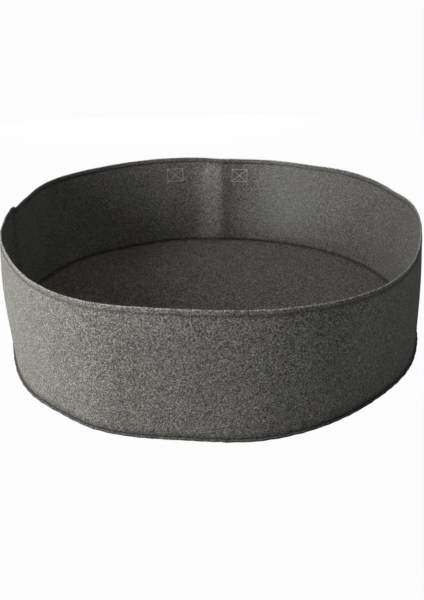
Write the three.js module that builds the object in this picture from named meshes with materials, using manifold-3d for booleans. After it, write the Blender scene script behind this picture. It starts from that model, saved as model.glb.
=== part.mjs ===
// A round fabric grow bag: one felt strip rolled up into a wall, a felt base, and a webbing handle.
// Millimetres, +Z up. The origin is the centre of the base's underside, and the handle is on the +Y side.
// Every piece is a straight bar or a flat sheet that is bent round the bag, as the real one is sewn.
import * as THREE from "three";
import { mergeVertices } from "three/addons/utils/BufferGeometryUtils.js";
import Module from "manifold-3d";

const DEGREE = Math.PI / 180;

// Overall size
const HEIGHT = 305; // ground to rim
const RADIUS = 595; // mean radius of the wall's outer face, where it stands on the base
const RIM_DRAW_IN = 9; // how much less that mean radius is at the rim
const RIM_LEAN = 14; // how far the slack wall leans towards +Y at the rim

// The soft plan is a little out of round: each row is a wave, its depth, and the way one crest points
const BASE_WAVES = [
  { crests: 2, depth: 7, towards: 58 * DEGREE },
  { crests: 3, depth: 9.5, towards: 30 * DEGREE },
  { crests: 4, depth: 8, towards: 45.5 * DEGREE },
];
const RIM_WAVES = [
  { crests: 2, depth: 7, towards: 87.5 * DEGREE },
  { crests: 3, depth: 8, towards: 26.5 * DEGREE },
  { crests: 4, depth: 12.5, towards: 41.5 * DEGREE },
  { crests: 5, depth: 3.5, towards: 22 * DEGREE },
];
const PLAN_STEPS = 144; // facets round the bag

// Felt wall and base
const FELT = 2.5; // thickness of the felt
const TOUCH = 0.3; // clearance between two pieces that touch
const HEM_DEPTH = 13; // the rim is folded inward by this much
const FOOT_WIDTH = 8; // the wall's bottom edge is turned outward onto the base by this much
const LAP_ANGLE = 175 * DEGREE; // where the strip's inner end lies
const LAP_WIDTH = 25; // how far the outer end reaches past it
const LAP_STEPS = 2;
const TRIMMED = 0.1; // what is left of the hem or the foot where a lapped end is trimmed

// Sewing thread
const THREAD = 1.2;
const THREAD_CLEARANCE = 0.5; // from a row to the felt or webbing that it lies on
const HEM_ROW_INSET = 3; // from the hem's lower edge up to its row
const LAP_ROW_INSET = 5; // from each end of the strip to its row
const LAP_ROW_STEPS = 4;
const ROW_END_GAP = 1; // from the strip's end to where a row round the bag starts

// Webbing handle
const STRAP_WIDTH = 50;
const STRAP_THICKNESS = 2;
const HANDLE_ANGLE = 91.7 * DEGREE; // the middle of the handle
const HANDLE_DROP = 60; // from the rim to the strap's middle line
const HALF_SPAN = 84; // from the handle's middle to where the strap is sewn down
const SEWN_LENGTH = 62;
const BOW = 48; // how far the free strap stands off the wall at its middle
const LIFT_LIMIT = 55 * DEGREE; // the loop swings up to this angle
const SWING_CLEARANCE = 3; // between the swinging loop's edge and the wall
const LOOP_GAP = 0.6; // between the loop and the sewn ends
const SEWN_STEPS = 6;
const RISING_STEPS = 6;
const LOOP_STEPS = 12;

// Box stitching at each end of the handle: a square with a cross in it
const BOX_LENGTH = 54;
const BOX_INSET = 3; // from the strap's edge to the box
const BOX_STEPS = 4;
const BAR_SLIMMING = 0.15;

const handleHeight = HEIGHT - HANDLE_DROP;
const layer = FELT + TOUCH; // from one felt layer to the next
const footTop = layer + FELT;
const lapEnd = LAP_ANGLE + LAP_WIDTH / RADIUS;

// --- The shape that everything follows ---

function outOfRound(waves, angle) {
  return waves.reduce((sum, wave) => sum + wave.depth * Math.cos(wave.crests * (angle - wave.towards)), 0);
}

// Radius of the wall's outer face, about a centre that leans with the wall
function wallRadius(angle, height) {
  const atBase = RADIUS + outOfRound(BASE_WAVES, angle);
  const atRim = RADIUS - RIM_DRAW_IN + outOfRound(RIM_WAVES, angle);
  return THREE.MathUtils.lerp(atBase, atRim, height / HEIGHT);
}

// The point at an angle round the bag, at a distance outward from the wall's outer face, and at a height
function wallPoint(angle, outward, height) {
  const radius = wallRadius(angle, height) + outward;
  const lean = (RIM_LEAN * height) / HEIGHT;
  return new THREE.Vector3(radius * Math.cos(angle), radius * Math.sin(angle) + lean, height);
}

// --- Tools that bend straight bars ---

// Extrudes a section through the stations. place() puts the section's x and y at one station.
function bentBar(section, stations, place, curveSegments = 1) {
  const steps = stations.length - 1;
  const bar = new THREE.ExtrudeGeometry(section, { depth: 1, steps, curveSegments, bevelEnabled: false });
  const corners = bar.getAttribute("position");
  for (let i = 0; i < corners.count; i += 1) {
    const station = stations[Math.round(corners.getZ(i) * steps)];
    const point = place(station, corners.getX(i), corners.getY(i));
    corners.setXYZ(i, point.x, point.y, point.z);
  }
  bar.computeVertexNormals();
  return bar;
}

function polygon(corners) {
  return new THREE.Shape(corners.map(([x, y]) => new THREE.Vector2(x, y)));
}

function rectangle(left, right, bottom, top) {
  return polygon([
    [left, bottom],
    [right, bottom],
    [right, top],
    [left, top],
  ]);
}

function spread(from, to, steps) {
  return Array.from({ length: steps + 1 }, (unused, i) => THREE.MathUtils.lerp(from, to, i / steps));
}

const wasm = await Module();
wasm.setup();

function toSolid(geometry) {
  const bare = geometry.clone();
  bare.deleteAttribute("normal");
  bare.deleteAttribute("uv");
  const merged = mergeVertices(bare);
  const vertProperties = new Float32Array(merged.getAttribute("position").array);
  const triVerts = new Uint32Array(merged.getIndex().array);
  return new wasm.Manifold(new wasm.Mesh({ numProp: 3, vertProperties, triVerts }));
}

function toGeometry(solid) {
  const mesh = solid.getMesh();
  const geometry = new THREE.BufferGeometry();
  geometry.setAttribute("position", new THREE.BufferAttribute(new Float32Array(mesh.vertProperties), 3));
  geometry.setIndex(new THREE.BufferAttribute(new Uint32Array(mesh.triVerts), 1));
  geometry.computeVertexNormals();
  return geometry;
}

// --- Felt ---

// Stations along the wall's strip, from its outer end clockwise to its inner end. Where the ends lap, the
// inner end lies one layer further in and has no foot, and the outer end has no hem.
function wallStations() {
  const turn = 2 * Math.PI;
  const outerLap = spread(lapEnd + turn, LAP_ANGLE + turn, LAP_STEPS);
  const round = spread(LAP_ANGLE + turn, lapEnd, PLAN_STEPS);
  const innerLap = spread(lapEnd, LAP_ANGLE, LAP_STEPS);
  return [
    ...outerLap.map((angle) => ({ angle, aside: 0, hem: TRIMMED, foot: FOOT_WIDTH })),
    ...round.slice(1, -1).map((angle) => ({ angle, aside: 0, hem: FELT, foot: FOOT_WIDTH })),
    ...innerLap.map((angle) => ({ angle, aside: -layer, hem: FELT, foot: TRIMMED })),
  ];
}

// The strip stands on the base, with its hem folded inward at the rim and its foot turned outward
function wallPanel() {
  const hemBottom = HEIGHT - HEM_DEPTH;
  const section = polygon([
    [0, HEIGHT],
    [-FELT - 1, HEIGHT],
    [-FELT - 1, hemBottom],
    [-FELT, hemBottom],
    [-FELT, layer],
    [1, layer],
    [1, footTop],
    [0, footTop],
  ]);
  return bentBar(section, wallStations(), (station, x, height) => {
    const hem = Math.min(x + FELT, 0) * station.hem;
    const foot = Math.max(x, 0) * station.foot;
    const flat = THREE.MathUtils.clamp(x, -FELT, 0);
    return wallPoint(station.angle, station.aside + flat + hem + foot, height);
  });
}

function basePanel() {
  const edge = spread(0, 2 * Math.PI, PLAN_STEPS).slice(0, -1);
  const outline = edge.map((angle) => wallPoint(angle, FOOT_WIDTH, 0));
  const disc = new THREE.Shape(outline.map((point) => new THREE.Vector2(point.x, point.y)));
  return new THREE.ExtrudeGeometry(disc, { depth: FELT, bevelEnabled: false });
}

// --- Thread ---

// A row round the bag. It starts and ends at the strip's inner end.
function rowRoundBag(height, offset) {
  const endGap = ROW_END_GAP / RADIUS;
  const half = THREAD / 2;
  const stations = wallStations().slice(LAP_STEPS);
  stations[0].angle -= endGap;
  stations[stations.length - 1].angle += endGap;
  return bentBar(rectangle(-half, half, -half, half), stations, (station, x, y) =>
    wallPoint(station.angle, offset(station) + x, height + y));
}

function hemRowOutside() {
  return rowRoundBag(HEIGHT - HEM_DEPTH + HEM_ROW_INSET, () => THREAD_CLEARANCE + THREAD / 2);
}

function hemRowInside() {
  const behind = (station) => station.aside - FELT - station.hem - THREAD_CLEARANCE - THREAD / 2;
  return rowRoundBag(HEIGHT - HEM_DEPTH + HEM_ROW_INSET, behind);
}

function baseSeamRow() {
  return rowRoundBag(footTop + THREAD_CLEARANCE + THREAD / 2, () => FOOT_WIDTH / 2);
}

// An upright row through the lapped ends, a distance along from the strip's inner end
function lapRow(along, offset) {
  const bottom = footTop + 2 * THREAD_CLEARANCE + THREAD;
  const top = HEIGHT - HEM_DEPTH - THREAD_CLEARANCE;
  const half = THREAD / 2;
  const angle = LAP_ANGLE + along / RADIUS;
  return bentBar(rectangle(-half, half, -half, half), spread(bottom, top, LAP_ROW_STEPS), (height, x, y) =>
    wallPoint(angle - x / RADIUS, offset + y, height));
}

// --- Handle ---

const backRadius = wallRadius(HANDLE_ANGLE, handleHeight);

// The point at a distance along the wall from the handle's middle, with its outward distance and height
function handlePoint(along, outward, height) {
  return wallPoint(HANDLE_ANGLE + along / backRadius, outward, height);
}

// How far the strap's inner face stands off the wall, and how steep it is there
function strapBow(along) {
  const share = Math.min(Math.abs(along) / HALF_SPAN, 1);
  const rest = 1 - share * share;
  return { standOff: TOUCH + BOW * rest * rest, slope: (4 * BOW * share * rest) / HALF_SPAN };
}

// The loop's hinge line is where a strap that swings to its limit still clears the wall
const hingeStandOff = (STRAP_WIDTH / 2) * Math.sin(LIFT_LIMIT) + SWING_CLEARANCE;
const loopHalf = HALF_SPAN * Math.sqrt(1 - Math.sqrt((hingeStandOff - TOUCH) / BOW));

function strap(distances) {
  const section = rectangle(0, 1, handleHeight - STRAP_WIDTH / 2, handleHeight + STRAP_WIDTH / 2);
  return bentBar(section, distances, (along, x, height) => {
    const { standOff, slope } = strapBow(along);
    return handlePoint(along, standOff + x * STRAP_THICKNESS * Math.hypot(1, slope), height);
  });
}

// The sewn-down end and the stretch that rises from it. side is 1 towards -X and -1 towards +X.
function handleEnd(side) {
  const distances = [
    ...spread(HALF_SPAN + SEWN_LENGTH, HALF_SPAN, SEWN_STEPS),
    ...spread(HALF_SPAN, loopHalf + LOOP_GAP / 2, RISING_STEPS).slice(1),
  ];
  return strap(side > 0 ? distances : distances.map((along) => -along).reverse());
}

function handleLoop() {
  return strap(spread(loopHalf - LOOP_GAP / 2, LOOP_GAP / 2 - loopHalf, LOOP_STEPS));
}

// One bar of thread between two points of the flat stitch pattern, bent onto the wall. Each later bar is a
// little slimmer where it stands off the wall, and a little shorter, as if it were pulled in under the others.
function stitchBar(from, to, outward, order) {
  const length = from.distanceTo(to) + THREAD * (1 - order / 2);
  const slimness = 1 - order * BAR_SLIMMING;
  const bar = new THREE.BoxGeometry(length, THREAD, THREAD * slimness, BOX_STEPS, 1, 1);
  const middle = from.clone().add(to).multiplyScalar(0.5);
  bar.rotateZ(Math.atan2(to.y - from.y, to.x - from.x));
  bar.translate(middle.x, middle.y, outward);
  const corners = bar.getAttribute("position");
  for (let i = 0; i < corners.count; i += 1) {
    const point = handlePoint(corners.getX(i), corners.getZ(i), corners.getY(i));
    corners.setXYZ(i, point.x, point.y, point.z);
  }
  return bar;
}

function boxStitch(side, outward) {
  const middle = side * (HALF_SPAN + SEWN_LENGTH / 2);
  const corner = (right, up) =>
    new THREE.Vector2(middle + (right * BOX_LENGTH) / 2, handleHeight + up * (STRAP_WIDTH / 2 - BOX_INSET));
  const bars = [
    stitchBar(corner(-1, -1), corner(1, -1), outward, 0),
    stitchBar(corner(-1, 1), corner(1, 1), outward, 0),
    stitchBar(corner(-1, -1), corner(-1, 1), outward, 1),
    stitchBar(corner(1, -1), corner(1, 1), outward, 1),
    stitchBar(corner(-1, -1), corner(1, 1), outward, 2),
    stitchBar(corner(-1, 1), corner(1, -1), outward, 3),
  ];
  return toGeometry(bars.map(toSolid).reduce((joined, solid) => joined.add(solid)));
}

// --- The whole bag ---

const felt = { color: 0x7b7a77, roughness: 0.95, metalness: 0 };
const webbing = { color: 0x656463, roughness: 0.8, metalness: 0 };
const darkThread = { color: 0x61605e, roughness: 0.7, metalness: 0 };
const greyThread = { color: 0xdadad7, roughness: 0.7, metalness: 0 };

const group = new THREE.Group();

function addPart(name, geometry, look) {
  const mesh = new THREE.Mesh(geometry, new THREE.MeshStandardMaterial(look));
  mesh.name = name;
  group.add(mesh);
}

addPart("wall_panel", wallPanel(), felt);
addPart("base_panel", basePanel(), felt);
addPart("hem_thread_outside", hemRowOutside(), darkThread);
addPart("hem_thread_inside", hemRowInside(), darkThread);
addPart("base_seam_thread", baseSeamRow(), darkThread);

const lapRowOutside = THREAD_CLEARANCE + THREAD / 2;
const lapRowInside = -layer - FELT - THREAD_CLEARANCE - THREAD / 2;
for (const [end, along] of [["front", LAP_WIDTH - LAP_ROW_INSET], ["back", LAP_ROW_INSET]]) {
  addPart(`lap_thread_${end}_outside`, lapRow(along, lapRowOutside), darkThread);
  addPart(`lap_thread_${end}_inside`, lapRow(along, lapRowInside), darkThread);
}

const boxOutside = TOUCH + STRAP_THICKNESS + THREAD_CLEARANCE + THREAD / 2;
const boxInside = -FELT - THREAD_CLEARANCE - THREAD / 2;
for (const [name, side] of [["left", 1], ["right", -1]]) {
  addPart(`handle_end_${name}`, handleEnd(side), webbing);
  addPart(`box_stitch_${name}_outside`, boxStitch(side, boxOutside), greyThread);
  addPart(`box_stitch_${name}_inside`, boxStitch(side, boxInside), greyThread);
}
addPart("handle_loop", handleLoop(), webbing);

export default group;
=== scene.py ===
import math

import bpy
import numpy as np
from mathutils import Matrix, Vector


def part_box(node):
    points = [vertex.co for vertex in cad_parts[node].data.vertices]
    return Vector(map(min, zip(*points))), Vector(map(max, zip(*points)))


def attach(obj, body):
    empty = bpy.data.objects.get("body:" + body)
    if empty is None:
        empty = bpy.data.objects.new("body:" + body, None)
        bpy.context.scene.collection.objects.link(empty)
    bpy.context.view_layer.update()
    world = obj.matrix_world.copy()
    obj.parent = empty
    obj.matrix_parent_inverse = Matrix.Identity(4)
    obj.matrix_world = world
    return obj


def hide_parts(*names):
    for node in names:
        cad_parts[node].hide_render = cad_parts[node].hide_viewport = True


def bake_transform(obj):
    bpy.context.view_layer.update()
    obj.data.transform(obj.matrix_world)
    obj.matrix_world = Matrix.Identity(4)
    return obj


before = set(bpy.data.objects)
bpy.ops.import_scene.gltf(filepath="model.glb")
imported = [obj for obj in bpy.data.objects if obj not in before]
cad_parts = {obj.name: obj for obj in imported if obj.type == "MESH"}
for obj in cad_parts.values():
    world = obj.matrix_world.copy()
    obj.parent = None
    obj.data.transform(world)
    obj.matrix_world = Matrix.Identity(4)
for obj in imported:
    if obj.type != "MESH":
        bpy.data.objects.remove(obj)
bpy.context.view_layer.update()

# A round fabric grow bag: a felt wall with a hemmed rim, a felt base, rows of stitching and a webbing
# handle. Lengths are metres. Angles are counter-clockwise from +X, and the handle is on the +Y side.

MM = 0.001
TURN = 2 * math.pi

# --- Sizes, from the frame ---

base_low, base_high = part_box("base_panel")
wall_low, wall_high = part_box("wall_panel")
loop_low, loop_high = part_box("handle_loop")
HEIGHT = wall_high.z
FELT = base_high.z - base_low.z
TOUCH = wall_low.z - base_high.z
LAYER = FELT + TOUCH
FOOT_TOP = wall_low.z + FELT
STRAP_WIDTH = loop_high.z - loop_low.z
STRAP_HEIGHT = (loop_high.z + loop_low.z) / 2

# --- Sizes that the frame's boxes don't show, as they are in the CAD model, apart from the foot ---

FOOT_WIDTH = 5 * MM  # narrower than the CAD model's, which is 8 mm
HEM_DEPTH = 13 * MM
HEM_BOTTOM = HEIGHT - HEM_DEPTH
HEM_ROW = HEM_BOTTOM + 3 * MM
LAP_ANGLE = math.radians(175)
LAP_WIDTH = 25 * MM
LAP_ROWS = (5 * MM, 20 * MM)
LAP_ROW_BOTTOM = FOOT_TOP + 3 * MM
LAP_ROW_TOP = HEM_BOTTOM - MM
HANDLE_ANGLE = math.radians(91.7)
HALF_SPAN = 84 * MM
SEWN_LENGTH = 62 * MM
STRAP_THICKNESS = 2 * MM
BOW = 48 * MM
BOX_LENGTH = 54 * MM
BOX_INSET = 3 * MM

# --- Small helpers ---

SHARP_ANGLE = math.radians(40)  # an edge that turns more than this isn't shaded smooth


def smooth(share):
    """A step from 0 to 1 with no corner, as share goes from 0 to 1."""
    t = np.clip(share, 0, 1)
    return t * t * (3 - 2 * t)


def round_bag(folds, angle):
    """A smooth line round the bag. folds lists (degrees, value), and the line is level at each."""
    places, values = np.array([*folds, (folds[0][0] + 360, folds[0][1])], float).T
    at = np.mod(np.degrees(angle) - places[0], 360) + places[0]
    i = np.clip(np.searchsorted(places, at) - 1, 0, len(folds) - 1)
    share = smooth((at - places[i]) / (places[i + 1] - places[i]))
    return values[i] + (values[i + 1] - values[i]) * share


def ripple(angle, waves, seed):
    """Irregular waves round the bag, about 1 high. waves lists how many of each fit round it."""
    draw = np.random.default_rng(seed)
    total = np.zeros_like(angle)
    for count in waves:
        total += draw.uniform(0.5, 1) * np.sin(count * angle + draw.uniform(0, TURN))
    return total / len(waves)


def add_object(name, points, faces, material):
    """A mesh object, shaded smooth."""
    mesh = bpy.data.meshes.new(name)
    mesh.from_pydata([tuple(p) for p in points], [], [tuple(f) for f in faces])
    mesh.update()
    mesh.materials.append(material)
    mesh.shade_smooth()
    piece = bpy.data.objects.new(name, mesh)
    bpy.context.collection.objects.link(piece)
    return piece


def swept(name, grid, material):
    """A closed body whose sections are the rows of grid, with a cap at each end."""
    rows, around = grid.shape[:2]
    index = np.arange(rows * around).reshape(rows, around)
    ahead = np.roll(index, -1, axis=1)
    quads = np.stack([index[:-1], index[1:], ahead[1:], ahead[:-1]], axis=-1).reshape(-1, 4)
    faces = [*quads.tolist(), index[0].tolist(), index[-1][::-1].tolist()]
    piece = add_object(name, grid.reshape(-1, 3), faces, material)
    piece.data.set_sharp_from_angle(angle=SHARP_ANGLE)
    return piece


# --- The wall's surface ---

OUTLINE_WAVES = 12


def node_points(node):
    """The vertices of a CAD node, as an array."""
    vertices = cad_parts[node].data.vertices
    points = np.empty(len(vertices) * 3)
    vertices.foreach_get("co", points)
    return points.reshape(-1, 3)


def wave_columns(angle):
    """The terms of a Fourier series at each angle, for a curve that closes round the bag."""
    angle = np.asarray(angle, float)
    columns = [np.ones_like(angle)]
    for count in range(1, OUTLINE_WAVES + 1):
        columns += [np.cos(count * angle), np.sin(count * angle)]
    return np.stack(columns, axis=-1)


def fit_outline(points):
    """Radius against angle about the origin, as a smooth curve through the outermost points."""
    angle = np.arctan2(points[:, 1], points[:, 0])
    radius = np.hypot(points[:, 0], points[:, 1])
    rough = np.linalg.lstsq(wave_columns(angle), radius, rcond=None)[0]
    outer = radius - wave_columns(angle) @ rough > -FELT / 4
    return np.linalg.lstsq(wave_columns(angle[outer]), radius[outer], rcond=None)[0]


rim_points = node_points("wall_panel")
RIM_OUTLINE = fit_outline(rim_points[rim_points[:, 2] > HEIGHT - TOUCH])
BASE_OUTLINE = fit_outline(node_points("base_panel"))

# The slack felt hangs in flats and soft corners, which differ between the rim and the base, and the wall
# stands a little inside the CAD model's at the base. Each list holds (degrees, millimetres out).
RIM_FOLDS = [(10, 6), (22, -6), (45, 6), (57, -5), (69, 1), (84, -4), (105, 5), (129, -6), (147, 6)]
RIM_FOLDS += [(166, -9), (172.5, -7), (177, 5), (192, 1), (213, -8), (241, 5), (261, -4), (297, 3)]
RIM_FOLDS += [(331, -6)]
BASE_FOLDS = [(21, -5), (48, -15), (60, -20), (85, -18), (103, -11), (121, -26), (147, -14), (177, -7)]
BASE_FOLDS += [(200, -22), (226, -3), (234, -4.5), (245, 2), (264, -10), (281, 2), (311, -9), (333, 0)]
BULGE = [(30, 0), (172, 0), (198, 9.5), (224, 0), (325, 0), (356, 6.5)]  # at half height

# One crease in the back wall swings gently inward and then sharply out again
CREASE = [(40, 0), (72, 4), (82.5, 2), (86.6, -12), (94, 6), (105, 0)]
CREASE_FULL_FROM = 0.15  # share of the height at which it has grown up from the base
CREASE_FADES_FROM = 0.84  # share of the height at which the stiff hem starts to flatten it
CREASE_FADES_OVER = 0.12
CREASE_TOP_SHARE = 0.4  # how much of it is left in the hem

# Smaller unevenness all round
SLACK = 2.2 * MM  # at half height
SHIVER = 0.8 * MM  # at the rim
PUCKER = 1.3 * MM  # at the base
PUCKER_TOP = 0.22  # share of the height at which the puckers have died out
TUCK = 1.5 * MM  # how far the wall is drawn in, just above the base seam
TUCK_GROWS_OVER = 7 * MM
TUCK_FADES_FROM = 14 * MM
TUCK_FADES_OVER = 34 * MM
TUCK_UNEVENNESS = 0.6


def relief(angle, height):
    """How far the slack felt stands out from the plain wall."""
    rise = np.clip(height / HEIGHT, 0, 1)
    folds = round_bag(BASE_FOLDS, angle) * (1 - rise) + round_bag(RIM_FOLDS, angle) * rise
    flattened = (1 - CREASE_TOP_SHARE) * smooth((rise - CREASE_FADES_FROM) / CREASE_FADES_OVER)
    crease = round_bag(CREASE, angle) * smooth(rise / CREASE_FULL_FROM) * (1 - flattened)
    slack = round_bag(BULGE, angle) * MM + SLACK * ripple(angle, (9, 13, 17, 22), 3)
    slack = slack * np.sin(math.pi * rise)
    shiver = SHIVER * ripple(angle, (31, 43, 57), 5) * rise
    pucker = PUCKER * ripple(angle, (61, 89, 113, 137), 8) * (1 - smooth(rise / PUCKER_TOP))
    tuck = TUCK * (1 + TUCK_UNEVENNESS * ripple(angle, (23, 41, 67), 15))
    tuck = tuck * smooth((height - FOOT_TOP) / TUCK_GROWS_OVER)
    tuck = tuck * (1 - smooth((height - TUCK_FADES_FROM) / TUCK_FADES_OVER))
    return (folds + crease) * MM + slack + shiver + pucker - tuck


def wall_radius(angle, height):
    """The radius of the plain wall's outer face."""
    columns = wave_columns(angle)
    at_base = columns @ BASE_OUTLINE - FOOT_WIDTH
    at_rim = columns @ RIM_OUTLINE
    return at_base + (at_rim - at_base) * height / HEIGHT


def wall_point(angle, outward, height, relief_share=1):
    """Points at an angle, a distance outward from the wall's outer face, and a height."""
    angle, outward, height = np.broadcast_arrays(angle, outward, height)
    radius = wall_radius(angle, height) + outward + relief(angle, height) * relief_share
    return np.stack([radius * np.cos(angle), radius * np.sin(angle), height], axis=-1)


def wall_normal(angle):
    """The way out of the wall, level and straight out from the origin."""
    return np.stack([np.cos(angle), np.sin(angle), np.zeros_like(angle)], axis=-1)


MEAN_RADIUS = float(BASE_OUTLINE[0]) - FOOT_WIDTH
LAP_END = LAP_ANGLE + LAP_WIDTH / MEAN_RADIUS

# --- Materials ---


class Looks:
    """A material whose nodes are added one call at a time."""

    def __init__(self, name, roughness, sheen):
        self.material = bpy.data.materials.new(name)
        self.material.use_nodes = True
        self.tree = self.material.node_tree
        self.shader = self.tree.nodes["Principled BSDF"]
        self.shader.inputs["Roughness"].default_value = roughness
        self.shader.inputs["Specular IOR Level"].default_value = 0.25
        self.shader.inputs["Sheen Weight"].default_value = sheen
        self.shader.inputs["Sheen Roughness"].default_value = 0.6
        coordinates = self.tree.nodes.new("ShaderNodeTexCoord")
        self.place = coordinates.outputs["Object"]

    def node(self, kind, inputs, **settings):
        node = self.tree.nodes.new(kind)
        for key, value in settings.items():
            setattr(node, key, value)
        for key, value in inputs.items():
            if isinstance(value, bpy.types.NodeSocket):
                self.tree.links.new(value, node.inputs[key])
            else:
                node.inputs[key].default_value = value
        return node

    def noise(self, size, detail=2.0, roughness=0.5, turn=(0, 0, 0)):
        """Noise from 0 to 1 with features of about this size, in a frame with this turn."""
        inputs = {"Vector": self.place, "Rotation": turn}
        place = self.node("ShaderNodeMapping", inputs, vector_type="TEXTURE")
        inputs = {
            "Vector": place.outputs[0],
            "Scale": 1 / size,
            "Detail": detail,
            "Roughness": roughness,
        }
        return self.node("ShaderNodeTexNoise", inputs).outputs["Fac"]

    def strands(self, size, width, turn):
        """Fine curly fibres: 1 along the middle level of a noise, and 0 where it is a width off that."""
        away = self.maths("ABSOLUTE", self.maths("SUBTRACT", self.noise(size, 1, 0.5, turn=turn), 0.5))
        return self.remap(away, 0, width, 1, 0)

    def maths(self, operation, a, b=0.0, c=0.0):
        return self.node("ShaderNodeMath", {0: a, 1: b, 2: c}, operation=operation).outputs[0]

    def remap(self, value, from_low, from_high, to_low, to_high):
        inputs = {
            "Value": value,
            "From Min": from_low,
            "From Max": from_high,
            "To Min": to_low,
            "To Max": to_high,
        }
        return self.node("ShaderNodeMapRange", inputs).outputs[0]

    def ramp(self, value, *stops):
        node = self.node("ShaderNodeValToRGB", {"Fac": value})
        elements = node.color_ramp.elements
        while len(elements) < len(stops):
            elements.new(0.5)
        for element, (position, colour) in zip(elements, stops):
            element.position = position
            element.color = (*colour, 1)
        return node.outputs["Color"]

    def brighten(self, colour, value):
        """The colour times a value near 1."""
        inputs = {0: colour, 1: value}
        return self.node("ShaderNodeVectorMath", inputs, operation="MULTIPLY").outputs[0]

    def finish(self, colour, bump, distance, strength):
        """The finished material, with this colour and these bumps."""
        self.tree.links.new(colour, self.shader.inputs["Base Color"])
        inputs = {"Height": bump, "Distance": distance, "Strength": strength}
        normal = self.node("ShaderNodeBump", inputs)
        self.tree.links.new(normal.outputs[0], self.shader.inputs["Normal"])
        return self.material


PAINTED_LIGHT = "painted_light"  # point attribute: painted highlight above 0, painted shade below 0
PAINTED_LIGHT_STRENGTH = 0.55
CLUMP = 16 * MM  # the size of the clumps of fibre, and of the cloudy shades over the whole
CLOUD = 110 * MM
SPECK_SHARE, GRAIN_SHARE, CLUMP_SHARE = 0.42, 0.52, 0.06
PLAIN_TONE = 0.87
LIGHT_FIBRE_TONE = 0.85
DARK_FIBRE_TONE = -0.45
FIRST_FIBRES = (7 * MM, 0.02, (0.4, 1.1, 0.2))  # the size of their curls, their width and their turn
MORE_FIBRES = [(5.5 * MM, 0.024, (1.3, 0.3, 2.1)), (4 * MM, 0.024, (2.2, 2.4, 0.9))]
DARK_FIBRES = (6 * MM, 0.035, (0.8, 1.9, 2.8))


def felt_material(name, mottle, dark, middle, light):
    """Needle-punched felt: curly dark and light fibres over a mottled mat of finer ones."""
    looks = Looks(name, 0.95, sheen=0.3)
    speck = looks.noise(mottle / 2, 2, 0.6)
    grain = looks.noise(mottle, 2, 0.6)
    clump = looks.noise(CLUMP, 2, 0.6)
    cloud = looks.noise(CLOUD, 3, 0.55)
    mix = looks.maths("MULTIPLY_ADD", speck, SPECK_SHARE, looks.maths("MULTIPLY", grain, GRAIN_SHARE))
    mix = looks.maths("MULTIPLY_ADD", clump, CLUMP_SHARE, mix)
    colour = looks.ramp(mix, (0.4, dark), (0.5, middle), (0.6, light))
    light_fibres = looks.strands(*FIRST_FIBRES)
    for fibres in MORE_FIBRES:
        light_fibres = looks.maths("MAXIMUM", light_fibres, looks.strands(*fibres))
    dark_fibres = looks.strands(*DARK_FIBRES)
    tone = looks.maths("MULTIPLY_ADD", dark_fibres, DARK_FIBRE_TONE, PLAIN_TONE)
    tone = looks.maths("MULTIPLY_ADD", light_fibres, LIGHT_FIBRE_TONE, tone)
    tone = looks.maths("MULTIPLY", tone, looks.remap(cloud, 0.3, 0.7, 0.92, 1.08))
    # Painted highlights and painted shade from the point attribute brighten or darken the felt's colour
    painted_light = looks.node("ShaderNodeAttribute", {}, attribute_name=PAINTED_LIGHT).outputs["Fac"]
    tone = looks.maths("MULTIPLY", tone, looks.maths("MULTIPLY_ADD", painted_light, PAINTED_LIGHT_STRENGTH, 1.0))
    colour = looks.brighten(colour, tone)
    height = looks.maths("MULTIPLY_ADD", light_fibres, 0.35, looks.maths("ADD", speck, grain))
    return looks.finish(colour, height, 1.2 * MM, 0.6)


def thread_material(name, dark, light):
    """Spun thread with fine strands and a slow change of shade."""
    looks = Looks(name, 0.6, sheen=0.1)
    strand = looks.noise(0.5 * MM, 2, 0.5)
    run = looks.noise(12 * MM, 2, 0.5)
    mix = looks.maths("MULTIPLY_ADD", strand, 0.5, looks.maths("MULTIPLY", run, 0.5))
    colour = looks.ramp(mix, (0.35, dark), (0.65, light))
    return looks.finish(colour, strand, 0.2 * MM, 0.5)


YARN = "yarn"  # a point attribute with the strap's own coordinates: across it, along it
WARP_PITCH = 1.7 * MM
WEFT_PITCH = 2.4 * MM


def webbing_material():
    """Flat woven webbing: rows of yarn across the strap, crossed by finer ones."""
    looks = Looks("charcoal_webbing", 0.75, sheen=0.15)
    yarn = looks.node("ShaderNodeAttribute", {}, attribute_name=YARN)
    parts = looks.node("ShaderNodeSeparateXYZ", {0: yarn.outputs["Vector"]})
    warp = looks.maths("SINE", looks.maths("MULTIPLY", parts.outputs["X"], TURN / WARP_PITCH))
    weft = looks.maths("SINE", looks.maths("MULTIPLY", parts.outputs["Y"], TURN / WEFT_PITCH))
    weave = looks.maths("MULTIPLY_ADD", looks.maths("MULTIPLY", warp, weft), 0.5, 0.5)
    fuzz = looks.noise(0.8 * MM, 3, 0.6)
    height = looks.maths("MULTIPLY_ADD", fuzz, 0.4, weave)
    colour = looks.ramp(height, (0.2, (0.04, 0.039, 0.037)), (0.95, (0.23, 0.225, 0.217)))
    colour = looks.brighten(colour, looks.remap(looks.noise(15 * MM), 0.3, 0.7, 0.85, 1.15))
    return looks.finish(colour, height, 0.5 * MM, 0.7)


WALL_FELT = felt_material(
    "charcoal_felt", 3.7 * MM, (0.045, 0.044, 0.041), (0.182, 0.179, 0.17), (0.48, 0.473, 0.455)
)
BASE_FELT = felt_material(
    "charcoal_base_felt", 5.4 * MM, (0.034, 0.0285, 0.0275), (0.165, 0.143, 0.139), (0.56, 0.505, 0.49)
)
DARK_THREAD = thread_material("charcoal_thread", (0.06, 0.059, 0.057), (0.19, 0.186, 0.18))
GREY_THREAD = thread_material("grey_thread", (0.6, 0.6, 0.585), (0.88, 0.88, 0.86))
WEBBING_LOOK = webbing_material()

# --- Felt wall ---

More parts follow.
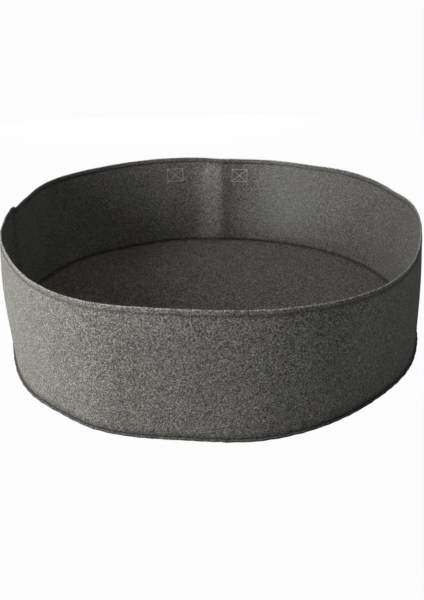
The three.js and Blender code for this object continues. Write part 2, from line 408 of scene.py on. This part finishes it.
WALL_STATIONS = 900
ROW_GROOVE = 0.8 * MM  # how deep a row of stitches pulls the felt in
GROOVE_REACH = 4 * MM
BEND = 1.8 * MM  # radius of the crease where the foot turns outward
SEAM_PLACE = FOOT_WIDTH * 0.6  # of the base seam's row, out across the foot
CUT_RADIUS = 0.8 * MM  # of the hem's cut edge
UPPER_BAND = 20 * MM  # the top of the outer face, where the section's points lie closer together
TRIMMED = 0.04  # share of the hem or the foot that is left where a lapped end is trimmed

# How far past the lap the strip eases out to the outer layer, and reaches its full foot and hem
LAYER_EASE = 40 * MM
FOOT_EASE = 12 * MM
HEM_EASE = 14 * MM

# The rim's unevenness
RIM_WAVE = 1.4 * MM
LAP_TIP = 6 * MM  # how far the strip's inner end stands up
LAP_TIP_LENGTH = 70 * MM
LIFTED_FROM = 0.55  # share of the height above which the wall follows the rim
EDGE_WAVE = 0.5 * MM  # of the cut edges of the foot and the base
EDGE_WAVES = (71, 97, 127)

# Painted shade and highlight inside: (degrees, value) along the crease, and painted shade by the lap's
# edge
CREASE_PAINTED_LIGHT = [(77, 0), (82, -0.35), (84.5, -0.12), (86.4, 0), (88, 0.6), (94, 0.6), (97.5, 0)]
LAP_SHADE = -1.6
LAP_SHADE_REACH = 6 * MM


def arc(centre, radius, start, end, steps):
    """Points along an arc, from one angle in degrees to another."""
    angles = np.radians(np.linspace(start, end, steps + 1))
    return np.stack([centre[0] + radius * np.cos(angles), centre[1] + radius * np.sin(angles)], axis=-1)


def climb(out, low, high, steps):
    """Points straight up or down a face, closer together near the top."""
    share = np.linspace(0, 1, steps + 1)
    top, bottom = max(low, high), min(low, high)
    from_top = 1 - share if high > low else share
    heights = top - (top - bottom) * from_top**1.6
    return np.stack([np.full_like(heights, out), heights], axis=-1)


def groove(distance):
    """The dip that a row of stitches makes, by distance from the row."""
    return ROW_GROOVE * (1 - smooth(np.abs(distance) / GROOVE_REACH))


def wall_section():
    """The wall's cut edge, from foot to rim to foot. Points are outward from its outer face, and up."""
    bend_height = FOOT_TOP + BEND
    fold = (2 * FELT + TOUCH) / 2
    fold_height = HEIGHT - fold
    hem_face = -2 * fold
    cut_height = HEM_BOTTOM + CUT_RADIUS
    band_bottom = HEIGHT - UPPER_BAND
    foot_tip = FOOT_WIDTH - FELT / 2
    along_foot = np.linspace(foot_tip, BEND, 9)
    foot = np.stack([along_foot, FOOT_TOP - groove(along_foot - SEAM_PLACE) / 2], axis=-1)
    under_hem = [[-FELT - 0.4 * MM, HEM_BOTTOM], [-FELT + 0.2 * MM, HEM_BOTTOM - 0.3 * MM]]
    pieces = [
        arc((foot_tip, wall_low.z + FELT / 2), FELT / 2, -90, 90, 6)[:-1],
        foot[:-1],
        arc((BEND, bend_height), BEND, 270, 180, 5)[:-1],
        climb(0, bend_height, band_bottom, 34)[:-1],
        climb(0, band_bottom, fold_height, 20)[:-1],
        arc((-fold, fold_height), fold, 0, 180, 12)[:-1],
        climb(hem_face, fold_height, cut_height, 14)[:-1],
        arc((hem_face + CUT_RADIUS, cut_height), CUT_RADIUS, 180, 270, 3),
        np.array(under_hem),
        climb(-FELT, HEM_BOTTOM - 2 * MM, bend_height, 44)[:-1],
        arc((BEND, bend_height), BEND + FELT, 180, 270, 6),
    ]
    section = np.concatenate(pieces)
    into_felt = np.where(section[:, 0] > -FELT / 2, -1, 1)
    in_hem = section[:, 1] > HEM_BOTTOM
    section[:, 0] += into_felt * in_hem * groove(section[:, 1] - HEM_ROW)
    return section


def near(section, place, reach):
    """1 at a place in the wall's section, falling to 0 at the reach."""
    return 1 - smooth(np.linalg.norm(section - np.array(place), axis=1) / reach)


def section_painted_light(section):
    """The painted light round the section: a painted highlight along its fold, and painted shade on its
    foot, in its creases and under the hem.
    """
    fold = (-FELT, HEIGHT)
    foot_crease = (BEND / 4, FOOT_TOP + BEND / 4)
    inner_seam = (-FELT, wall_low.z + 2.5 * MM)
    hem_edge = (-FELT - 0.2 * MM, HEM_BOTTOM - 0.8 * MM)
    painted_highlight = 3.4 * near(section, fold, 4.4 * MM)
    painted_shade = 0.4 * smooth((section[:, 0] - BEND) / (1.5 * MM))
    painted_shade = painted_shade + 1.1 * near(section, foot_crease, 2.1 * MM)
    painted_shade = painted_shade + 1.8 * near(section, inner_seam, 5 * MM)
    painted_shade = painted_shade + 1.7 * near(section, hem_edge, 5 * MM)
    return painted_highlight - painted_shade


def wall_layers(angle):
    """For each station of the strip: how far its layer lies inward, and how much hem and foot it has."""
    from_inner_end = (angle - LAP_ANGLE) * MEAN_RADIUS
    from_outer_end = (LAP_END + TURN - angle) * MEAN_RADIUS
    aside = -LAYER * (1 - smooth((from_inner_end - LAP_WIDTH) / LAYER_EASE))
    foot = TRIMMED + (1 - TRIMMED) * smooth((from_inner_end - LAP_WIDTH - MM) / FOOT_EASE)
    hem = TRIMMED + (1 - TRIMMED) * smooth((from_outer_end - LAP_WIDTH - MM) / HEM_EASE)
    return aside, hem, foot


def rim_lift(angle):
    """How far the rim stands above its mean height, by angle along the strip."""
    lift = RIM_WAVE * ripple(np.mod(angle, TURN), (4, 7, 11), 12)
    tip = LAP_TIP * (1 - smooth((angle - LAP_ANGLE) * MEAN_RADIUS / LAP_TIP_LENGTH))
    return lift + tip


def wall_painted_light(section, angle, height):
    """The painted light of the whole wall: that of its section, and inside, along the crease and beside
    the lap.
    """
    inner_face = smooth((height - FOOT_TOP) / BEND) * smooth((HEM_BOTTOM - height) / BEND)
    inner_face = inner_face * (section[:, 0][None] < -FELT / 2)
    from_lap_edge = np.abs(angle - LAP_ANGLE - TURN) * MEAN_RADIUS
    lap_shade = LAP_SHADE * (1 - smooth(from_lap_edge / LAP_SHADE_REACH))
    return section_painted_light(section)[None] + inner_face * (round_bag(CREASE_PAINTED_LIGHT, angle) + lap_shade)


def add_painted_light(piece, values):
    """Give each point of a felt piece its painted light and shade."""
    painted_light = piece.data.attributes.new(PAINTED_LIGHT, "FLOAT", "POINT")
    painted_light.data.foreach_set("value", values)


def make_wall():
    """The strip of felt: its section swept once round the bag, from its inner end to over that end."""
    section = wall_section()
    angle = np.linspace(LAP_ANGLE, LAP_END + TURN, WALL_STATIONS)[:, None]
    aside, hem, foot = wall_layers(angle)
    out, height = section[:, 0][None], section[:, 1][None]
    folded = np.minimum(out + FELT, 0) * hem
    turned = np.maximum(out, 0) * foot
    outward = aside + np.clip(out, -FELT, 0) + folded + turned
    height = height + rim_lift(angle) * smooth((height / HEIGHT - LIFTED_FROM) / (1 - LIFTED_FROM))
    wave = EDGE_WAVE * (1 + ripple(np.mod(angle, TURN), EDGE_WAVES, 21))
    height = height + wave * smooth(turned / FOOT_WIDTH * 2 - 0.6)
    piece = swept("felt_wall", wall_point(angle, outward, height), WALL_FELT)
    add_painted_light(piece, wall_painted_light(section, angle, height).ravel())
    return piece


wall = make_wall()
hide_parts("wall_panel")
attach(wall, "bag")

# --- Felt base ---

BASE_STATIONS = 720
BASE_RINGS = 64
HILL = 1.2 * MM  # the mean lift of the slack base
HILLS_FROM = 15 * MM
HILLS_OVER = 80 * MM
WRINKLE = 6 * MM  # the height of the wrinkles that run in from the seam
WRINKLE_COUNTS = (19, 26, 37, 52)
WRINKLES_FROM = FOOT_WIDTH + FELT + 2 * MM
WRINKLES_OVER = 9 * MM
WRINKLES_FADE_FROM = 20 * MM
WRINKLES_FADE_OVER = 60 * MM
SEAM_SHADE = -1.8  # painted shade on the base beside the wall, and its reach
SEAM_SHADE_REACH = 5 * MM
EDGE_SHADE = -0.6  # painted shade along the base's cut edge, and its reach
EDGE_SHADE_REACH = 4 * MM


def floor_lift(x, y, angle, inside):
    """How far the slack base lifts off the ground. inside is the distance from its edge."""
    long_waves = np.sin(x * 17 + 1.1) * np.sin(y * 14 - 0.4)
    short_waves = 0.6 * np.sin(x * 31 + y * 23 + 2.0) + 0.4 * np.sin(x * 9 - y * 38)
    hills = HILL * np.maximum(1 + 0.5 * (long_waves + short_waves), 0)
    hills = hills * smooth((inside - HILLS_FROM) / HILLS_OVER)
    wrinkles = WRINKLE * np.maximum(ripple(angle, WRINKLE_COUNTS, 31) - 0.1, 0)
    wrinkles = wrinkles * smooth((inside - WRINKLES_FROM) / WRINKLES_OVER)
    return hills + wrinkles * (1 - smooth((inside - WRINKLES_FADE_FROM) / WRINKLES_FADE_OVER))


def base_painted_shade(inside):
    """Painted shade on the base, beside the wall and along its cut edge."""
    from_seam = np.abs(inside - (FOOT_WIDTH + FELT + TUCK))
    seam_shade = SEAM_SHADE * (1 - smooth(from_seam / SEAM_SHADE_REACH))
    return seam_shade + EDGE_SHADE * (1 - smooth((inside + FELT / 2) / EDGE_SHADE_REACH))


def make_base():
    """A disc of felt with a soft edge, from the middle of its top, over the edge, to the middle below."""
    edge = FELT / 2
    angle = np.linspace(0, TURN, BASE_STATIONS, endpoint=False)[:, None]
    around = angle[:, 0]
    reach = wave_columns(around) @ BASE_OUTLINE + relief(around, np.zeros_like(around)) - edge
    reach = (reach + EDGE_WAVE * ripple(around, EDGE_WAVES, 22))[:, None]
    share = 1 - (1 - np.linspace(0, 1, BASE_RINGS + 1)[1:]) ** 1.7
    curl = arc((0, 0), edge, 90, -90, 6)[1:-1]
    radius = np.concatenate([reach * share, reach + curl[:, 0], reach * share[::-1]], axis=1)
    inside = reach - radius
    x, y = radius * np.cos(angle), radius * np.sin(angle)
    level = np.concatenate([np.full(BASE_RINGS, FELT), edge + curl[:, 1], np.zeros(BASE_RINGS)])
    ring = np.stack([x, y, level[None] + floor_lift(x, y, angle, inside)], axis=-1)
    middles = [[0, 0, FELT + MM / 2], [0, 0, MM / 2]]
    points = np.concatenate([ring.reshape(-1, 3), middles])
    index = np.arange(radius.size).reshape(radius.shape)
    beside = np.roll(index, -1, axis=0)
    quads = [index[:, :-1], index[:, 1:], beside[:, 1:], beside[:, :-1]]
    quads = np.stack(quads, axis=-1).reshape(-1, 4).tolist()
    top, bottom = len(points) - 2, len(points) - 1
    fans = [[top, a, b] for a, b in zip(index[:, 0], beside[:, 0])]
    fans += [[bottom, b, a] for a, b in zip(index[:, -1], beside[:, -1])]
    piece = add_object("felt_base", points, [*quads, *fans], BASE_FELT)
    add_painted_light(piece, np.concatenate([base_painted_shade(inside).ravel(), np.zeros(len(middles))]))
    return piece


base = make_base()
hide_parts("base_panel")
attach(base, "bag")

# --- Stitches ---

STITCH_PITCH = 5.5 * MM
STITCH_GAP = 0.7 * MM
STITCH_RADIUS = 0.7 * MM
BOX_STITCH_RADIUS = 1.15 * MM
STITCH_SIDES = 6
STITCH_RINGS = 6
STITCH_RISE = 0.35 * MM  # of its middle above the felt
STITCH_DIP = 1.3  # of its ends under the felt, in thread radii
STITCH_TIP = 0.45  # thickness of its ends, as a share of the middle
LIFT_AT_HEM_ROW = 0.95  # share of the rim's lift that the hem's row follows


def stitches(name, starts, ends, up, material, node, radius=STITCH_RADIUS):
    """One short thread from each start to each end, bowed up off the felt in the middle."""
    run = ends - starts
    length = np.linalg.norm(run, axis=1, keepdims=True)
    ahead = run / length
    side = np.cross(ahead, up)
    side /= np.linalg.norm(side, axis=1, keepdims=True)
    lift = np.cross(side, ahead)
    share = np.linspace(0, 1, STITCH_RINGS)
    bow = STITCH_RISE - (STITCH_RISE + STITCH_DIP * radius) * (2 * share - 1) ** 4
    thick = radius * (STITCH_TIP + (1 - STITCH_TIP) * np.sin(math.pi * share) ** 0.5)
    turn = np.linspace(0, TURN, STITCH_SIDES, endpoint=False)
    centre = starts[:, None] + run[:, None] * share[None, :, None] + lift[:, None] * bow[None, :, None]
    wheel = side[:, None] * np.cos(turn)[None, :, None] + lift[:, None] * np.sin(turn)[None, :, None]
    points = centre[:, :, None] + wheel[:, None] * thick[None, :, None, None]
    index = np.arange(points[..., 0].size).reshape(points.shape[:3])
    ahead_index = np.roll(index, -1, axis=2)
    quads = [index[:, :-1], index[:, 1:], ahead_index[:, 1:], ahead_index[:, :-1]]
    quads = np.stack(quads, axis=-1).reshape(-1, 4).tolist()
    caps = [*index[:, 0].tolist(), *index[:, -1, ::-1].tolist()]
    piece = add_object(name, points.reshape(-1, 3), [*quads, *caps], material)
    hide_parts(node)
    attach(piece, "bag")
    return piece


def along_row(length):
    """Where each stitch of a row starts and ends, for a row of this length."""
    count = int(length / STITCH_PITCH)
    starts = np.arange(count) * length / count
    return starts + STITCH_GAP / 2, starts + length / count - STITCH_GAP / 2


def row_round_bag(name, node, place, up):
    """A row all round. place takes angles along the strip, and up takes angles."""
    starts, ends = along_row(TURN * MEAN_RADIUS)
    first, last = LAP_ANGLE + starts / MEAN_RADIUS, LAP_ANGLE + ends / MEAN_RADIUS
    middle = (first + last) / 2
    return stitches(name, place(first), place(last), up(middle), DARK_THREAD, node)


def hem_row_height(angle):
    return HEM_ROW + rim_lift(angle) * LIFT_AT_HEM_ROW


def hem_outside(angle):
    return wall_point(angle, -ROW_GROOVE + STITCH_RADIUS / 2, hem_row_height(angle))


def hem_inside(angle):
    aside, hem, _ = wall_layers(angle)
    out = aside - FELT - LAYER * hem + ROW_GROOVE - STITCH_RADIUS / 2
    return wall_point(angle, out, hem_row_height(angle))


def base_row(angle):
    return wall_point(angle, SEAM_PLACE, FOOT_TOP - ROW_GROOVE / 2)


def wall_inward(angle):
    return -wall_normal(angle)


def upward(angle):
    return np.stack([np.zeros_like(angle), np.zeros_like(angle), np.ones_like(angle)], axis=-1)


row_round_bag("hem_stitches_outside", "hem_thread_outside", hem_outside, wall_normal)
row_round_bag("hem_stitches_inside", "hem_thread_inside", hem_inside, wall_inward)
row_round_bag("base_seam_stitches", "base_seam_thread", base_row, upward)


def lap_row(name, node, along, outside):
    """An upright row of stitches through both ends of the wall's strip."""
    starts, ends = along_row(LAP_ROW_TOP - LAP_ROW_BOTTOM)
    angle = np.full_like(starts, LAP_ANGLE + along / MEAN_RADIUS)
    out = STITCH_RADIUS / 3 if outside else -LAYER - FELT - STITCH_RADIUS / 3
    first = wall_point(angle, out, LAP_ROW_BOTTOM + starts)
    last = wall_point(angle, out, LAP_ROW_BOTTOM + ends)
    up = wall_normal(angle) if outside else wall_inward(angle)
    stitches(name, first, last, up, DARK_THREAD, node)


for end, along in (("back", LAP_ROWS[0]), ("front", LAP_ROWS[1])):
    for face in ("outside", "inside"):
        lap_row(f"lap_stitches_{end}_{face}", f"lap_thread_{end}_{face}", along, face == "outside")

# --- Handle ---

STRAP_STATIONS = 260
RIBS = 16  # across the webbing
RIB_DEPTH = 0.12 * MM
BACK_RADIUS = float(wall_radius(np.array(HANDLE_ANGLE), STRAP_HEIGHT))


def handle_point(along, outward, height, relief_share=1):
    """Points at a distance along the wall from the handle's middle, towards -X."""
    return wall_point(HANDLE_ANGLE + along / BACK_RADIUS, outward, height, relief_share)


def strap_bow(along):
    """How far the strap stands off the wall, and its slope."""
    share = np.minimum(np.abs(along) / HALF_SPAN, 1)
    rest = 1 - share * share
    return TOUCH + BOW * rest * rest, 4 * BOW * share * rest / HALF_SPAN


def make_strap():
    """One length of webbing, sewn down at both ends and bowed out between them."""
    reach = HALF_SPAN + SEWN_LENGTH
    edge = STRAP_THICKNESS / 2
    flat = STRAP_WIDTH / 2 - edge
    across = np.linspace(-flat, flat, 2 * RIBS + 1)
    rib = RIB_DEPTH * np.cos(across / flat * RIBS * math.pi)
    up_edge = arc((flat, edge), edge, -90, 90, 4)[1:-1]
    down_edge = arc((-flat, edge), edge, 90, 270, 4)[1:-1]
    inner = np.stack([across, -rib], axis=-1)
    outer = np.stack([across[::-1], STRAP_THICKNESS + rib[::-1]], axis=-1)
    section = np.concatenate([inner, up_edge, outer, down_edge])
    along = np.linspace(reach, -reach, STRAP_STATIONS)[:, None]
    stand_off, slope = strap_bow(along)
    out = stand_off + section[:, 1][None] * np.hypot(1, slope)
    follows_wall = 1 - smooth(stand_off / (BOW / 2))
    height = STRAP_HEIGHT + section[:, 0][None]
    strap = swept("webbing_strap", handle_point(along, out, height, follows_wall), WEBBING_LOOK)
    lengths = np.repeat(along[:, 0], len(section))
    widths = np.tile(section[:, 0], STRAP_STATIONS)
    yarn = strap.data.attributes.new(YARN, "FLOAT_VECTOR", "POINT")
    yarn.data.foreach_set("vector", np.stack([widths, lengths, np.zeros_like(widths)], axis=-1).ravel())
    return strap


strap = make_strap()
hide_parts("handle_end_left", "handle_loop", "handle_end_right")
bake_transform(strap)


def box_stitches(name, node, side, out, outside):
    """A square of stitches with a cross in it, through the sewn end of the strap."""
    middle = side * (HALF_SPAN + SEWN_LENGTH / 2)

    def place(flat):
        return handle_point(middle + flat[:, 0], out, STRAP_HEIGHT + flat[:, 1])

    half_length, half_height = BOX_LENGTH / 2, STRAP_WIDTH / 2 - BOX_INSET
    corners = np.array([[-1, -1], [1, -1], [1, 1], [-1, 1]]) * [half_length, half_height]
    lines = [(corners[i], corners[(i + 1) % 4]) for i in range(4)]
    lines += [(corners[0], corners[2]), (corners[1], corners[3])]
    starts, ends = [], []
    for a, b in lines:
        length = np.linalg.norm(b - a)
        first, last = along_row(length)
        starts.append(a + (b - a) * first[:, None] / length)
        ends.append(a + (b - a) * last[:, None] / length)
    starts, ends = np.concatenate(starts), np.concatenate(ends)
    angle = HANDLE_ANGLE + (middle + (starts + ends)[:, 0] / 2) / BACK_RADIUS
    up = wall_normal(angle) if outside else wall_inward(angle)
    stitches(name, place(starts), place(ends), up, GREY_THREAD, node, BOX_STITCH_RADIUS)


on_strap = TOUCH + STRAP_THICKNESS + STITCH_RADIUS / 2
on_inner_face = -FELT - BOX_STITCH_RADIUS / 2
for end, side in (("left", 1), ("right", -1)):
    box_stitches(f"box_stitches_{end}_outside", f"box_stitch_{end}_outside", side, on_strap, True)
    box_stitches(f"box_stitches_{end}_inside", f"box_stitch_{end}_inside", side, on_inner_face, False)

# --- Ground, lights and camera ---

WHITE = 0.97  # the share of plain white in the background
AMBIENT = 0.13  # the strength of the light from all round
GROUND_RADIUS = 30
WARM_WHITE = (1, 0.99, 0.945)
COOL_WHITE = (0.96, 0.98, 1)
PLAIN_WHITE = (1, 1, 1)
CAMERA_PLACE = (0.0022, -1.752, 0.9323)
CAMERA_TARGET = (-0.0012, 0.0853, -0.0038)
CAMERA_LENS = 40.15  # millimetres, on a sensor 36 mm wide


def make_ground():
    """A pale floor that looks white, and darkens a little where the bag shades it."""
    bpy.ops.mesh.primitive_circle_add(vertices=96, radius=GROUND_RADIUS, fill_type="NGON")
    ground = bpy.context.object
    ground.name = "ground"
    material = bpy.data.materials.new("pale_ground")
    material.use_nodes = True
    nodes, links = material.node_tree.nodes, material.node_tree.links
    nodes["Principled BSDF"].inputs["Base Color"].default_value = (0.8, 0.8, 0.8, 1)
    nodes["Principled BSDF"].inputs["Roughness"].default_value = 0.9
    glow = nodes.new("ShaderNodeEmission")
    seen = nodes.new("ShaderNodeLightPath")
    mix = nodes.new("ShaderNodeMixShader")
    share = nodes.new("ShaderNodeMath")
    share.operation = "MULTIPLY"
    share.inputs[1].default_value = WHITE
    links.new(seen.outputs["Is Camera Ray"], share.inputs[0])
    links.new(share.outputs[0], mix.inputs[0])
    links.new(nodes["Principled BSDF"].outputs[0], mix.inputs[1])
    links.new(glow.outputs[0], mix.inputs[2])
    links.new(mix.outputs[0], nodes["Material Output"].inputs["Surface"])
    ground.data.materials.append(material)


def make_world():
    """Even light from all round, which the camera sees as white as the ground."""
    world = bpy.data.worlds.new("studio")
    bpy.context.scene.world = world
    world.use_nodes = True
    nodes, links = world.node_tree.nodes, world.node_tree.links
    background = nodes["Background"]
    background.inputs["Color"].default_value = (1, 1, 1, 1)
    seen = nodes.new("ShaderNodeLightPath")
    level = nodes.new("ShaderNodeMapRange")
    level.inputs["To Min"].default_value = AMBIENT
    level.inputs["To Max"].default_value = WHITE
    links.new(seen.outputs["Is Camera Ray"], level.inputs["Value"])
    links.new(level.outputs[0], background.inputs["Strength"])


def add_lamp(name, target, azimuth, elevation, distance, size, power, colour, spread=180):
    """A soft lamp that points at a target from a direction and a distance. Angles are in degrees."""
    lamp = bpy.data.lights.new(name, "AREA")
    lamp.shape = "RECTANGLE"
    lamp.size, lamp.size_y = size
    lamp.energy = power
    lamp.color = colour
    lamp.spread = math.radians(spread)
    holder = bpy.data.objects.new(name, lamp)
    holder.visible_camera = False
    bpy.context.collection.objects.link(holder)
    around, up = math.radians(azimuth), math.radians(elevation)
    level = math.cos(up)
    way = Vector((level * math.cos(around), level * math.sin(around), math.sin(up)))
    holder.location = Vector(target) + way * distance
    aim(holder, target)


def aim(holder, target):
    """Turn a lamp or the camera towards a target."""
    way = Vector(target) - holder.location
    holder.rotation_mode = "QUATERNION"
    holder.rotation_quaternion = way.to_track_quat("-Z", "Y")


def make_camera():
    """The camera is 27 degrees above the ground, and looks at a point just behind the bag's middle."""
    camera = bpy.data.cameras.new("camera")
    camera.sensor_width = 36
    camera.lens = CAMERA_LENS
    holder = bpy.data.objects.new("camera", camera)
    bpy.context.collection.objects.link(holder)
    holder.location = CAMERA_PLACE
    aim(holder, CAMERA_TARGET)
    bpy.context.scene.camera = holder


make_ground()
make_world()
MIDDLE = (0, 0, HEIGHT / 2)
BACK_WALL = (0.26, 0.51, HEIGHT * 0.75)
add_lamp("key", MIDDLE, 210, 17, 2.4, size=(1.1, 1.3), power=40, colour=WARM_WHITE)
add_lamp(
    "back_wall_light", BACK_WALL, 246, 12, 3.4, size=(0.3, 0.3), power=0.13, colour=COOL_WHITE, spread=8
)
add_lamp("behind_light", MIDDLE, 98, 2.5, 2.8, size=(1.8, 0.25), power=17, colour=PLAIN_WHITE)
make_camera()

bpy.context.scene.view_settings.view_transform = "Standard"
